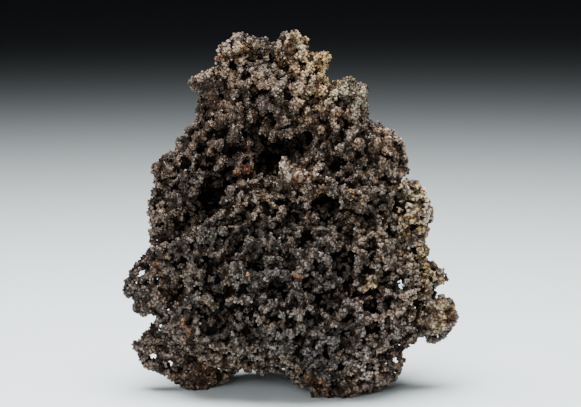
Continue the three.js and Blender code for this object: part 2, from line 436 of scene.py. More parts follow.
def hole_marks(x, z, radius):
    """A row of marks right through, along the way that the camera looks."""
    steps = int(HOLE_REACH / MARK_STEP)
    slope = math.tan(CAMERA_ELEVATION)
    return [(x, MARK_STEP * i, z - slope * MARK_STEP * i, radius) for i in range(-steps, steps + 1)]


hollow_marks = [mark for pit in FRONT_PITS for mark in pit_marks(*pit)]
hollow_marks += [mark for pit in BACK_PITS for mark in pit_marks(*pit, from_back=True)]
hollow_marks += [mark for hole in HOLES + NOTCHES for mark in hole_marks(*hole)]
hollows = marks_object("hollows", hollow_marks)
print("marks for hollows:", len(hollow_marks))

# %% Lumps
# x, z and radius of lumps that stand out beyond the outer form, or thicken it.
LUMPS = [
    (8.5, 45.9, 1.2), (10.5, 45, 1.1), (9.6, 44, 1.5), (7.5, 44.6, 1.3), (4.9, 50, 0.9), (-5.6, 52.1, 1),
    (-4.2, 51.9, 1), (-13.9, 46.1, 1.3), (-13, 42, 1.2), (-16.4, 37.2, 0.9), (-19.4, 31.4, 1.2),
    (-19.8, 33.2, 1.2), (-20.1, 29.6, 0.9), (-20.4, 22.4, 0.9), (14.6, 38.2, 1.2), (0.5, 52.9, 1),
    (18.4, 30.5, 1.1), (13.8, 38.9, 0.9), (16.5, 34.4, 1.1), (16.9, 32.9, 0.9), (20, 20.8, 0.9),
    (22.8, 16.8, 0.8), (16.2, 4, 0.7), (6.9, 45.9, 0.8), (22.6, 8.2, 1), (19.4, 29.2, 1.2), (-20.4, 28, 1),
    (-20.6, 26.5, 1), (-20.7, 20.1, 0.9), (-21.9, 19.4, 0.9), (-22.9, 18.7, 0.8), (-23.6, 17.6, 0.8),
    (-24.2, 16.3, 0.9), (-24.5, 14.9, 0.9), (-21.4, 18.2, 0.7), (-23, 12.3, 0.8), (-19.3, 28.5, 0.9),
    (-19.2, 30, 0.9), (-18.7, 30.7, 0.9), (-10.4, 49.6, 0.8), (-10, 48.8, 0.7), (-19.4, 26.6, 0.9),
    (-19.5, 25.4, 0.8), (-18.9, 10.5, 1.1), (-19.7, 11.5, 0.8), (-18.2, 9.2, 1.1), (-20.6, 9.2, 0.8),
    (-21.6, 7.9, 0.9), (-22.9, 6.5, 1.1), (-9, 3, 0.9), (21.4, 14.6, 0.9), (23.7, 12.5, 1.1),
    (24.2, 10.8, 1.1), (-19.2, 34.2, 0.8), (16.3, 36.3, 0.9), (-8.6, 4, 1.3), (-7.2, 4.2, 1.3),
    (-5.8, 4.3, 1.3), (-4.2, 4.2, 1.3),
]
# The same for lumps along the two ledges on the front and along the rim of the cleft.
LEDGES = [
    (-20.6, 21, 1), (-18.8, 21.8, 1.1), (-17, 22.5, 1), (-15.2, 23.4, 1.1), (-13.4, 24.1, 1.1),
    (-11.6, 24.6, 1), (-9.8, 25.4, 1), (-9.9, 27.4, 1), (-9.4, 29.2, 1), (-8.7, 30.7, 1.1),
    (-7.2, 31.4, 1.1), (-6.6, 33.6, 1), (-7.9, 33.2, 0.9), (-5.6, 31.6, 1), (-4.6, 32.4, 0.8),
    (-3.2, 31.6, 1.1), (-1.7, 31.8, 1), (1.2, 33, 1.1), (2.2, 34.4, 1), (3.2, 35.8, 1), (4.6, 35.4, 1),
    (2.4, 31.4, 1.1), (17.6, 12.2, 1), (8.4, 30.2, 1.2), (10, 29, 1.2), (-17, 29.6, 1), (-16.6, 28.2, 0.9),
    (-15.8, 32.7, 0.9), (-15.7, 31.3, 0.9), (-18.3, 26.5, 1), (-14.9, 28.8, 0.8), (-19.6, 14.6, 1.3),
    (-21, 13.4, 1.1), (-18.9, 16.2, 1), (-21.6, 15.4, 1), (3.4, 46.5, 1), (2.7, 45.3, 0.9), (-1, 44, 1),
    (-7.3, 47.9, 0.8),
]
LEDGE_SINK = 0.3  # how far in from the surface their middles lie
# x, y, z and radius of the spire that stands on the rim.
SPIRE = [
    (-0.3, -10.2, 32.8, 1.3), (-0.6, -10.3, 33.9, 1.1), (-0.8, -10.3, 34.9, 0.9), (-0.9, -10.3, 35.6, 0.6),
    (1.2, -10.2, 33.2, 1.2),
]
# The same for lumps inside the mass that close two stray gaps.
PLUGS = [
    (17.6, 2, 11.9, 1.1), (17.6, 0, 12.1, 1.1), (17.6, -2, 12.4, 1.1), (-18.9, 1, 30.5, 0.9),
    (-18.9, -1, 30.8, 0.9),
]


def lump_mark(x, z, radius):
    """A mark at x and z, as far along Y as the nearest part of the outer form."""
    nearest = skin_faces.find_nearest(Vector((x, 0.0, z)) * MM)[0]
    return (x, nearest.y / MM, z, radius)


lump_marks = [lump_mark(*lump) for lump in LUMPS] + SPIRE + PLUGS
lump_marks += [(x, surface_at(x, z) + LEDGE_SINK, z, radius) for x, z, radius in LEDGES]
lumps = marks_object("lumps", lump_marks)
print("marks for lumps:", len(lump_marks))

# %% Clearance from marks
# How far a place lies outside the nearest mark's radius: negative inside it.
clearance_tree = GeometryTree("Clearance", {"Geometry": "Marks", "Vector": "Place"}, {"Float": "Clearance"})
t = clearance_tree
marks, place = t["Marks"], t["Place"]
nearest = t.nearest_point(marks, place)
mark_place = t.sampled(marks, t.here(), nearest, "FLOAT_VECTOR")
mark_radius = t.sampled(marks, t.attribute("radius"), nearest)
t.feed(t.result["Clearance"], t.minus(t.vector("DISTANCE", place, mark_place), mark_radius))

# %% Depth under the surface
# How far a place lies inside the skin or a lump, and outside every hollow: positive in the material.
UPWARD = (0.11, 0.07, 1.0)  # slanted, so that no ray runs along an edge
depth_tree = GeometryTree(
    "Depth in the mass",
    {"Geometry": "Skin, Hollows, Lumps", "Vector": "Place"},
    {"Float": "Depth, Skin depth, In lump", "Vector": "Inward"},
)
t = depth_tree
closed_skin, place = t["Skin"], t["Place"]
values = {"Geometry": closed_skin, "Sample Position": place}
nearest = t.add("GeometryNodeProximity", values, target_element="FACES").outputs
upward = t.raycast(closed_skin, place, UPWARD, FAR * MM)
leaving = t.compare("GREATER_THAN", t.vector("DOT_PRODUCT", upward["Hit Normal"], UPWARD), 0.0)
side = t.minus(t.times(t.boolean("AND", upward["Is Hit"], leaving), 2.0), 1.0)
skin_depth = t.times(nearest["Distance"], side)
away = t.vector("NORMALIZE", t.vector("SUBTRACT", place, nearest["Position"]))
outside_hollow = t.group_node(clearance_tree, Marks=t["Hollows"], Place=place)[0]
outside_lump = t.group_node(clearance_tree, Marks=t["Lumps"], Place=place)[0]
in_lump = t.times(outside_lump, -1.0)
hollowed = t.math("MINIMUM", skin_depth, outside_hollow)
t.feed(t.result["Depth"], t.math("MAXIMUM", hollowed, in_lump))
t.feed(t.result["Skin depth"], t.math("MAXIMUM", skin_depth, in_lump))
t.feed(t.result["In lump"], in_lump)
t.feed(t.result["Inward"], t.scaled(away, side))

# %% [markdown]
# ## The porous networks
#
# Under the crystals lie rounded branches with gaps of their own size between them, like coral. Their shape
# follows a rule, so a field makes it: smooth noise that swells into beads, cut at a level that falls with
# depth, so that the branches close up further in. A volume holds the field, and the surface at its level is
# the mesh. The tree runs twice: finely for the branches that are seen, and coarsely for what lies behind.

# %% Beads
BEADS = {"Low_size": 1.2 * MM, "High_size": 1.45 * MM, "Low_height": 30.0 * MM, "High_height": 38.0 * MM}
SWIRL_SIZE = 2.2 * MM
SWIRL = 1.2 * MM  # how far noise moves the beads out of line


def bead_group(kind_of_tree):
    """Beads that are larger and more upright higher up, for the branches' shape and for the colours.

    Distance is 0 in the middle of a bead and about 0.5 at its edge, and Own is each bead's random number."""
    t = kind_of_tree(
        "Beads",
        {"Vector": "Place", "Float": "Low size, High size, Low height, High height"},
        {"Float": "Distance, Own, Upper share"},
    )
    place = t["Place"]
    values = {"Vector": place, "Scale": 1.0 / SWIRL_SIZE, "Detail": 0.0}
    swirl = t.add("ShaderNodeTexNoise", values).outputs["Color"]
    swirled = t.vector("ADD", place, t.scaled(t.vector("SUBTRACT", swirl, (0.5, 0.5, 0.5)), SWIRL))
    of_size = []
    for size, squeeze in (("Low size", 1.0), ("High size", 0.68)):
        squeezed = t.vector("MULTIPLY", swirled, (1.0, 1.0, squeeze))
        values = {"Vector": squeezed, "Scale": t.over(1.0, t[size])}
        bead = t.add("ShaderNodeTexVoronoi", values, feature="F1").outputs
        of_size.append((bead["Distance"], t.vector("DOT_PRODUCT", bead["Color"], (1.0, 0.0, 0.0))))
    upper = t.ramped(t.height_of(place), t["Low height"], t["High height"])
    for label, low, high in zip(("Distance", "Own"), *of_size):
        t.feed(t.result[label], t.plus(low, t.times(t.minus(high, low), upper)))
    t.feed(t.result["Upper share"], upper)
    return t


bead_tree = bead_group(GeometryTree)

# %% The tree that grows a network: how deep each place lies
SIZES_AND_SHARES = (
    "Branch size, Branching, Beading, Void size, Openness, Void openness, "
    "Cover, Taper, Solid depth, Solid share, Closing"
)
network_inputs = {"Object": "Hollows, Lumps", "Vector": "Low, High, Resolution", "Float": SIZES_AND_SHARES}
network_inputs |= {"Int": "Smallest island"}
network_tree = GeometryTree("Porous network", GEOMETRY | network_inputs, GEOMETRY)
t = network_tree
closed_skin, here = t["Geometry"], t.here()
marks = {name: t.shape_of(name) for name in ("Hollows", "Lumps")}
mass = t.group_node(depth_tree, Skin=closed_skin, Place=here, **marks)
depth = t.minus(mass["Depth"], t["Cover"])
across = t.raycast(closed_skin, here, mass["Inward"], FAR * MM)["Hit Distance"]
thickness = t.plus(across, mass["Depth"])

# %% The branches and the level that cuts them
branches = t.minus(t.noise(here, t["Branch size"], 1.0), 0.5)
branches = t.plus(0.5, t.times(branches, t["Branching"]))
beads = t.group_node(bead_tree, Place=here, **BEADS)
swelling = t.times(t.minus(0.48, beads["Distance"]), t["Beading"])
branches = t.plus(branches, swelling)

# Wider gaps, fewer of them higher up.
voids = t.ramped(t.noise(here, t["Void size"], 0.5), 0.48, 0.66, 0.0, t["Void openness"])
voids = t.times(voids, t.minus(1.0, t.times(beads["Upper share"], 0.75)))

# The branches are thinner at their ends, close up with depth, and have a core even in a thin lobe.
tapering = t.ramped(depth, 0.0, t["Taper"], 0.1, 0.0)
solid_from = t.math("MINIMUM", t["Solid depth"], t.times(thickness, t["Solid share"]))
closing = t.times(t.math("MAXIMUM", t.minus(depth, solid_from), 0.0), t["Closing"])

# They are denser where the mass is thin, near the base and in the upper part.
thin = t.ramped(thickness, 3.0 * MM, 13.0 * MM, 0.28, 0.0)
near_base = t.ramped(t.height_of(here), 3.0 * MM, 7.0 * MM, 0.05, 0.0)
upper = t.times(beads["Upper share"], 0.025)

# The marked lumps are nearly whole.
whole = t.ramped(mass["In lump"], 0.0, 0.5 * MM, 0.0, 0.12)

# Along the outline as seen from the front, they close up just behind the outermost beads.
facing_front = t.math("ABSOLUTE", t.vector("DOT_PRODUCT", mass["Inward"], (0, 1, 0)))
behind = t.ramped(depth, 0.6 * MM, 1.6 * MM, 0.01, 0.12)
outline = t.times(t.ramped(facing_front, 0.2, 0.8, 1.0, 0.0), behind)

open_level = t.plus(t["Openness"], voids, tapering)
level = t.minus(open_level, closing, t.math("MAXIMUM", thin, near_base), upper, whole, outline)

# %% The network's surface
above = t.times(t.minus(branches, level), 4.0)
within = t.over(depth, 0.3 * MM)
field = t.plus(0.5, t.math("MINIMUM", above, within))
counts = t.add("ShaderNodeSeparateXYZ", {"Vector": t["Resolution"]}).outputs
values = {
    "Density": t.out("ShaderNodeClamp", {"Value": field, "Min": 0.0, "Max": 1.0}),
    "Min": t["Low"],
    "Max": t["High"],
    **{f"Resolution {axis}": counts[axis] for axis in "XYZ"},
}
volume = t.out("GeometryNodeVolumeCube", values)
surface = t.out("GeometryNodeVolumeToMesh", {"Volume": volume, "Threshold": 0.5, "Adaptivity": 0.0})

# Loose bits are removed.
island = t.add("GeometryNodeInputMeshIsland").outputs["Island Index"]
size_of = t.add("GeometryNodeAccumulateField", {"Group ID": island}, data_type="INT", domain="POINT")
enabled(size_of.inputs, "Value").default_value = 1
loose = t.compare("LESS_THAN", enabled(size_of.outputs, "Total"), t["Smallest island"])
t.feed(t.result["Geometry"], t.realized(t.without(surface, loose)))

# %% Grow the networks


def network(name, voxel, **values):
    """The field over the whole outer form, as a mesh with a vertex about every voxel."""
    margin = Vector((voxel, voxel, voxel))
    low, high = Vector(cad_box[0]) - margin, Vector(cad_box[1]) + margin
    counts = [float(math.ceil((b - a) / voxel)) for a, b in zip(low, high)]
    values |= {"Hollows": hollows, "Lumps": lumps, "Low": low, "High": high, "Resolution": counts}
    values |= {"Branching": 0.8, "Void_size": 2.6 * MM, "Taper": 0.9 * MM, "Closing": 0.2 / MM}
    made = grown(network_tree, skin, name, **values)
    print(name + ":", len(made.data.vertices), "vertices,", len(made.data.polygons), "faces")
    return made


FINE = {"Beading": 0.6, "Openness": 0.513, "Void_openness": 0.04, "Solid_share": 0.35, "Smallest_island": 500}
FINE |= {"Branch_size": 1.5 * MM, "Cover": 0.0, "Solid_depth": 6.0 * MM}
COARSE = {"Beading": 0.3, "Openness": 0.48, "Void_openness": 0.05, "Solid_share": 0.3, "Smallest_island": 100}
COARSE |= {"Branch_size": 1.6 * MM, "Cover": 1.1 * MM, "Solid_depth": 3.0 * MM}
fine = network("fine_network", 0.36 * MM, **FINE)
skeleton = network("porous_skeleton", 0.9 * MM, **COARSE)

# %% [markdown]
# ## What is seen, and where the crystals sit
#
# Only the part of the fine network that looks out on open space is kept. Each point of it remembers how open
# it is, which finish it wears and which part of the mass it belongs to. The specimen is honey-coloured along
# its right side and crown, with rusty spots in the recesses and at the feet.
#
# A crystal then needs a seat: a place on that surface, not too near its neighbour's. Seats in the more closed
# places are dropped, because every crystal costs faces.

# %% Marks for the finishes
# x, z and radius of the honey-coloured and the rusty spots in the front, in mm.
HONEY_SPOTS = [
    (3.3, 49.5, 2.8), (1.6, 51.8, 1.6), (-6.6, 51.8, 1), (5.1, 50.2, 1.8), (4.6, 47.4, 2), (8.1, 45.7, 2),
    (6.5, 44.5, 1.6), (10.4, 44, 1.6), (18, 30.3, 2), (19.8, 28.3, 1.4), (16.4, 28.8, 1), (18.6, 24.6, 1.6),
    (19.4, 22.2, 1.6), (20.8, 18, 1.6), (21.8, 16.4, 1.3), (23, 12.4, 2), (22.3, 9.4, 1.2), (-3, 30.2, 1.3),
    (-12.5, 14.8, 0.4), (11.5, 17.2, 1), (9, 31, 0.8), (9.5, 28.7, 0.8), (5.8, 44.5, 0.8),
]
RUST_SPOTS = [
    (-14.5, 45.6, 1.2), (-10.4, 50, 0.7), (-2.9, 37.8, 0.7), (-19.3, 34.4, 0.8), (-6.4, 33.4, 1.2),
    (-8, 33, 0.9), (-7.6, 35.6, 1), (-6.3, 37, 1), (-4.4, 38.4, 0.9), (0.9, 32.6, 1), (2.8, 27.6, 0.5),
    (-6.6, 20.4, 0.8), (1.2, 19.6, 0.5), (-20, 19.1, 1.2), (-15.4, 11.1, 1.1), (-12.4, 3.4, 1.6),
    (-10.5, 2.4, 1.1), (-16.2, 9.4, 0.8), (-15.8, 7, 0.7), (-13.8, 4, 0.9), (7.9, 6.9, 0.6),
    (14.9, 5.7, 0.8), (12.9, 3.3, 0.8), (2.8, 3.3, 0.7), (5, 1.7, 0.7), (23.8, 11.7, 0.8), (3.9, 30, 0.8),
    (3.6, 13.2, 1),
]
# The same for the back.
BACK_HONEY_SPOTS = [(5, 47, 2.6), (-17, 26, 2.6), (20, 16, 2.6), (9, 38, 2)]
BACK_RUST_SPOTS = [(-9, 30, 1.8), (6, 14, 1.8), (-13, 5, 1.5)]
# The middles of the parts of the mass, in mm. A point belongs to the nearest.
REGIONS = {
    "crown": (-2, 0, 46),
    "upper_front": (0, -9, 31),
    "lower_front": (1, -14, 13),
    "left_lobes": (-19, 0, 15),
    "right_lobes": (19, 0, 15),
    "upper_back": (0, 9, 32),
    "lower_back": (0, 14, 13),
}


def spot_marks(front, back):
    """Each spot as one mark on the surface."""
    marks = [(x, surface_at(x, z), z, radius) for x, z, radius in front]
    return marks + [(x, surface_at(x, z, from_back=True), z, radius) for x, z, radius in back]


honey_marks = marks_object("honey marks", spot_marks(HONEY_SPOTS, BACK_HONEY_SPOTS))
rust_marks = marks_object("rust marks", spot_marks(RUST_SPOTS, BACK_RUST_SPOTS))
region_marks = marks_object("region marks", [(*middle, 0.0) for middle in REGIONS.values()])

# %% The tree that keeps the surface that can be seen
seen_inputs = {"Object": "Skin, Hollows, Lumps, Honey, Rust, Regions"}
seen_inputs |= {"Float": "Most depth, Look out, Least openness"}
seen_tree = GeometryTree("Seen surface", GEOMETRY | seen_inputs, GEOMETRY)
t = seen_tree
here = t.here()
form = {name: t.shape_of(name) for name in ("Skin", "Hollows", "Lumps")}
mass = t.group_node(depth_tree, Place=here, **form)

# A point's openness is how far rays from it run, straight out and to the sides. The crystal colours turn it
# into painted shade.
SIDEWAYS = [(0, 0, 0), (0.9, 0, 0), (-0.9, 0, 0), (0, 0.9, 0), (0, -0.9, 0), (0, 0, 0.9), (0, 0, -0.9)]
START = 0.12 * MM  # how far off the surface the rays begin
outward = t.scaled(mass["Inward"], -1.0)
facing = t.out("GeometryNodeInputNormal")
start = t.vector("ADD", here, t.scaled(facing, START))
openness = 0.0
for sideways in SIDEWAYS:
    direction = t.vector("NORMALIZE", t.vector("ADD", outward, sideways))
    reached = t.raycast(t["Geometry"], start, direction, t["Look out"])["Hit Distance"]
    share = t.over(reached, t["Look out"])
    openness = t.plus(openness, t.over(share, float(len(SIDEWAYS))))
too_deep = t.compare("GREATER_THAN", mass["Depth"], t["Most depth"])
openness = t.times(openness, t.minus(1.0, too_deep))
# Deeper under the skin, as in pits, openness falls. Fewer crystals sit there, and the painted shade there is
# darker.
openness = t.times(openness, t.ramped(mass["Skin depth"], 1.2 * MM, 4.5 * MM, 1.0, 0.45))

# Inside a finish's marks, with a ragged edge: 1 for honey and 2 for rust.
raggedness = t.times(t.minus(t.noise(here, 1.1 * MM), 0.5), 6.0 * MM)
in_marks = []
for name in ("Honey", "Rust"):
    outside = t.group_node(clearance_tree, Marks=t.shape_of(name), Place=here)["Clearance"]
    in_marks.append(t.compare("LESS_THAN", t.plus(outside, raggedness), 0.0))
finish = t.math("MAXIMUM", in_marks[0], t.times(in_marks[1], 2.0))

known = t.stored(t["Geometry"], "openness", openness)
known = t.stored(known, "grain", 1.0)
known = t.stored(known, "finish", finish, domain="FACE")
known = t.stored(known, "region", t.nearest_point(t.shape_of("Regions"), here), "INT", "FACE")
unseen = t.compare("LESS_THAN", t.attribute("openness"), t["Least openness"])
t.feed(t.result["Geometry"], t.without(known, unseen))

# %% Keep the seen surface
values = {"Skin": skin, "Hollows": hollows, "Lumps": lumps}
values |= {"Honey": honey_marks, "Rust": rust_marks, "Regions": region_marks}
values |= {"Most_depth": 6.0 * MM, "Look_out": 3.0 * MM, "Least_openness": 0.22}
seen = grown(seen_tree, fine, "seen surface", **values)
print("seen surface:", len(seen.data.polygons), "faces")

# %% The tree that finds the seats
seat_inputs = {"Float": "Spacing, Proud, Least openness, Single honey, Single rust", "Int": "Seed"}
seat_tree = GeometryTree("Crystal seats", GEOMETRY | seat_inputs, GEOMETRY)
t = seat_tree
MOST_PER_AREA = 20.0 / MM**2  # enough for the spacing to decide
values = {"Mesh": t["Geometry"], "Distance Min": t["Spacing"], "Seed": t["Seed"]}
values |= {"Density Max": MOST_PER_AREA}
scatter = t.add("GeometryNodeDistributePointsOnFaces", values, distribute_method="POISSON").outputs
lift = t.plus(t["Proud"], t.random(-0.08 * MM, 0.08 * MM, 2))
values = {"Geometry": scatter["Points"], "Offset": t.scaled(scatter["Normal"], lift)}
lifted = t.out("GeometryNodeSetPosition", values)
shut_in = t.compare("LESS_THAN", t.attribute("openness"), t["Least openness"])
seated = t.without(lifted, shut_in)

# A few single crystals anywhere wear another finish.
single = t.random(0.0, 1.0, 8)
lone_honey = t.compare("LESS_THAN", single, t["Single honey"])
lone_rust = t.compare("GREATER_THAN", single, t.minus(1.0, t["Single rust"]))
lone = t.math("MAXIMUM", lone_honey, t.times(lone_rust, 2.0))
points = t.stored(seated, "finish", t.math("MAXIMUM", t.math("ROUND", t.attribute("finish")), lone))
points = t.stored(points, "tint", t.random(0.0, 1.0, 3))
points = t.stored(points, "grain", 0.0)
t.feed(t.result["Geometry"], t.out("GeometryNodePointsToVertices", {"Points": points}))

# %% Find the seats
values = {"Spacing": 0.5 * MM, "Proud": -0.02 * MM, "Least_openness": 0.36}
values |= {"Single_honey": 0.0015, "Single_rust": 0.0015, "Seed": 11}
seats = grown(seat_tree, seen, "crystal seats", **values)
print("seats for crystals:", len(seats.data.vertices))

# %% [markdown]
# ## The crystals
#
# Silver chloride grows as cubes with cut corners. At about half a millimetre they read as rounded grains with
# a few flat faces that catch the light, so each has only a few faces. A tree puts one on every seat, turned
# its own way, with a small square of its own on the piece's UV map.

# %% Crystal shapes


def crystal_shape(name, corners):
    """The convex body of some corners, about 1 from the centre, with its faces laid out on a UV map."""
    mesh = bpy.data.meshes.new(name)
    body = bmesh.new()
    for corner in corners:
        body.verts.new(corner)
    bmesh.ops.convex_hull(body, input=body.verts)
    bmesh.ops.dissolve_limit(body, angle_limit=math.radians(1.0), verts=body.verts, edges=body.edges)
    bmesh.ops.recalc_face_normals(body, faces=body.faces)
    across = math.ceil(math.sqrt(len(body.faces)))
    layout = body.loops.layers.uv.new("OFBake")
    for number, face in enumerate(body.faces):
        middle = Vector((number % across + 0.5, number // across + 0.5))
        for turn, corner in enumerate(face.loops):
            angle = math.tau * turn / len(face.loops)
            corner[layout].uv = (middle + 0.42 * Vector((math.cos(angle), math.sin(angle)))) / across
    body.to_mesh(mesh)
    body.free()
    return bpy.data.objects.new(name, mesh)


SIGNS = (-1.0, 1.0)
CUBE = [(0.82 * a, 0.82 * b, 0.82 * c) for a in SIGNS for b in SIGNS for c in SIGNS]
SLAB = [(0.95 * x, 0.8 * y, 0.75 * z) for x, y, z in CUBE]
AXES = ((1, 0, 0), (0, 1, 0), (0, 0, 1))
OCTAHEDRON = [tuple(1.15 * a * part for part in axis) for axis in AXES for a in SIGNS]
LONG_OCTAHEDRON = [(1.2 * x, 0.85 * y, 0.9 * z) for x, y, z in OCTAHEDRON]
CRYSTALS = {"cube": CUBE, "slab": SLAB, "octahedron": OCTAHEDRON, "long octahedron": LONG_OCTAHEDRON}
shapes = bpy.data.collections.new("crystal shapes")
for number, (name, corners) in enumerate(CRYSTALS.items()):
    shape = crystal_shape(f"shape {number} {name}", corners)
    shapes.objects.link(shape)
    print(shape.name, len(shape.data.polygons), "faces")

# %% The tree that puts crystals on their seats
crystal_inputs = {"Object": "Surface", "Collection": "Shapes", "Material": "Material"}
crystal_inputs |= {"Float": "Finish, Smallest, Largest, Cells across", "Int": "Region", "Bool": "Any region"}
crystal_tree = GeometryTree("Crystals on seats", GEOMETRY | crystal_inputs, GEOMETRY)
t = crystal_tree
finish_gap = t.math("ABSOLUTE", t.minus(t.attribute("finish"), t["Finish"]))
region_gap = t.math("ABSOLUTE", t.minus(t.attribute("region", "INT"), t["Region"]))
region_gap = t.times(region_gap, t.minus(1.0, t["Any region"]))
other_finish, other_region = (t.compare("GREATER_THAN", gap, 0.5) for gap in (finish_gap, region_gap))
others = t.boolean("OR", other_finish, other_region)
own_seats = t.without(t["Geometry"], others)


def cell_of(tree, number, cells_across):
    """The column and the line of a numbered cell, when the cells are laid out line by line."""
    column = tree.math("FLOORED_MODULO", number, cells_across)
    return column, tree.math("FLOOR", tree.over(number, cells_across))


column, line = cell_of(t, t.out("GeometryNodeInputIndex"), t["Cells across"])
cell = t.out("ShaderNodeCombineXYZ", {"X": column, "Y": line})
points = t.stored(own_seats, "cell", cell, "FLOAT_VECTOR")

# Crystals of like size lie together.
size_share = t.plus(t.times(t.noise(t.here(), 3.0 * MM), 0.5), t.random(0.0, 0.6, 4))
size = t.ramped(size_share, 0.1, 1.0, t["Smallest"], t["Largest"], smooth=False)
any_turn = t.random((0, 0, 0), (math.tau, math.tau, math.tau), 5)
stretch = t.scaled(t.random((0.8, 0.8, 0.8), (1.2, 1.2, 1.2), 6), t.times(size, 0.5))
values = {"Collection": t["Shapes"], "Separate Children": True}
values = {
    "Points": points,
    "Instance": t.out("GeometryNodeCollectionInfo", values),
    "Pick Instance": True,
    "Instance Index": t.random(0, len(shapes.objects) - 1, 7),
    "Rotation": t.out("FunctionNodeEulerToRotation", {"Euler": any_turn}),
    "Scale": stretch,
}
crystals = t.realized(t.out("GeometryNodeInstanceOnPoints", values))

# Crystals on the floor are flat there.
values = {"Geometry": crystals, "Position": t.vector("MAXIMUM", t.here(), (-1.0, -1.0, 0.0))}
grounded = t.out("GeometryNodeSetPosition", values)

# %% The map and the surface under the crystals
CELL_FILLED = 0.96  # how much of its cell's width a crystal's map takes
in_cell = t.scaled(t.attribute("OFBake", "FLOAT_VECTOR"), CELL_FILLED)
on_map = t.vector("ADD", t.attribute("cell", "FLOAT_VECTOR"), in_cell)
on_map = t.scaled(on_map, t.over(1.0, t["Cells across"]))
mapped_crystals = t.stored(grounded, "OFBake", on_map, "FLOAT2", "CORNER")

# Each face of the surface has a smaller square, counted from the map's other edge.
own_faces = t.without(t.shape_of("Surface"), others, "FACE")
corner = t.add("GeometryNodeFaceOfCorner").outputs
small_across = t.times(t["Cells across"], 3.0)
column, line = cell_of(t, corner["Face Index"], small_across)
turn = corner["Index in Face"]
right = t.compare("LESS_THAN", t.math("ABSOLUTE", t.minus(turn, 1.5)), 1.0)
top = t.compare("GREATER_THAN", turn, 1.5)
across = t.plus(column, t.plus(0.15, t.times(right, 0.7)))
down = t.plus(line, t.plus(0.15, t.times(top, 0.7)))
values = {"X": t.over(across, small_across), "Y": t.minus(1.0, t.over(down, small_across))}
face_on_map = t.out("ShaderNodeCombineXYZ", values)
mapped_faces = t.stored(own_faces, "OFBake", face_on_map, "FLOAT2", "CORNER")
smooth = t.out("GeometryNodeSetShadeSmooth", {"Geometry": mapped_faces})
together = t.add("GeometryNodeJoinGeometry")
for part in (smooth, mapped_crystals):
    t.group.links.new(part, together.inputs[0])
values = {"Geometry": together.outputs[0], "Material": t["Material"]}
t.feed(t.result["Geometry"], t.out("GeometryNodeSetMaterial", values))

# %% [markdown]
# ## Finishes
#
# The crystals' colour holds painted shade: nearly black in their recesses and paler at the tips. No two
# are quite alike. One shader node group makes that for all three finishes, and each material gives it its own
# colours. The tips' colour also changes from place to place, in round zones with soft, ragged edges.

# %% The crystal colour group, with its painted shade
skin_group = Tree(
    "Crystal colour",
    {"Color": "Tip, Recess, Odd", "Float": "Odd share, Gloss share, Gap shade"},
    {"Color": "Color", "Float": "Roughness, Specular, Height"},
)
t = skin_group


def drawn(step):
    """Another random number from 0 to 1, from the crystal's own."""
    return t.math("FRACT", t.times(tint, step))


def stored_value(name):
    return t.add("ShaderNodeAttribute", attribute_name=name).outputs["Fac"]


# A crystal has its own tint. The surface between them, where grain is 1, has one for each grain.
GRAIN_SIZE = 0.48 * MM
place = t.add("ShaderNodeTexCoord").outputs["Object"]
grain = stored_value("grain")
grains = t.add("ShaderNodeTexVoronoi", {"Vector": place, "Scale": 1.0 / GRAIN_SIZE}).outputs
one_grain = t.out("ShaderNodeSeparateColor", {"Color": grains["Color"]})
tint = t.plus(stored_value("tint"), t.times(grain, one_grain))

# Painted shade: from the near-black recess colour where the surface is closed in, to the tip's colour where
# it is open, by openness. Another colour for a few crystals.
tipness = t.ramped(stored_value("openness"), 0.15, 1.0, smooth=False)
colour = t.mixed(tipness, t["Recess"], t["Tip"])
odd = t.math("LESS_THAN", drawn(13.7), t["Odd share"])
colour = t.mixed(t.times(odd, 0.8), colour, t["Odd"])
warmth = t.ramped(t.noise(place, 3.5 * MM, 2.0), 0.38, 0.62)
hue = t.mixed(warmth, (0.94, 1.0, 1.05, 1.0), (1.06, 1.0, 0.88, 1.0))
colour = t.mixed(1.0, colour, hue, "MULTIPLY")

# Lighter and darker: by crystal, within a crystal, by patch and by bead.
own = t.ramped(drawn(7.3), 0.0, 1.0, 0.73, 1.05, smooth=False)
mottle = t.ramped(t.noise(place, 0.3 * MM, 1.0), 0.3, 0.7, 0.8, 1.25, smooth=False)
patch = t.ramped(t.noise(place, 2.4 * MM, 1.0), 0.3, 0.7, 0.86, 1.14, smooth=False)
beads = t.group_node(bead_group(Tree), Place=place, **BEADS)
bead_own = t.ramped(beads["Own"], 0.0, 1.0, 0.72, 1.28, smooth=False)
level = t.times(t.times(own, mottle), t.times(patch, bead_own))

# Painted shade: dark between the grains and along the edges of the beads, and browner there than at the tips.
WARM_SHADE = {"Red": 1.0, "Green": 1.18, "Blue": 1.36}
crease_shade = t.ramped(t.times(grains["Distance"], grain), 0.36, 0.6, 1.0, 0.2)
outline = t.ramped(beads["Distance"], 0.38, 0.6, 1.0, t["Gap shade"])
shade = t.times(crease_shade, outline)
of_light = {name: t.times(level, t.math("POWER", shade, power)) for name, power in WARM_SHADE.items()}
lit = t.out("ShaderNodeCombineColor", of_light)
t.feed(t.result["Color"], t.mixed(1.0, colour, lit, "MULTIPLY"))

# Some crystals are glossy.
glossy = t.times(t.math("LESS_THAN", drawn(29.1), t["Gloss share"]), tipness)
t.feed(t.result["Roughness"], t.minus(0.5, t.times(glossy, 0.34)))
t.feed(t.result["Specular"], t.plus(0.2, t.times(glossy, 0.5)))

# The bump: a dome on each grain, and a fine texture on everything.
dome = t.times(t.minus(0.6, grains["Distance"]), grain)
t.feed(t.result["Height"], t.plus(t.times(t.noise(place, 0.12 * MM, 1.0), 0.25), dome))

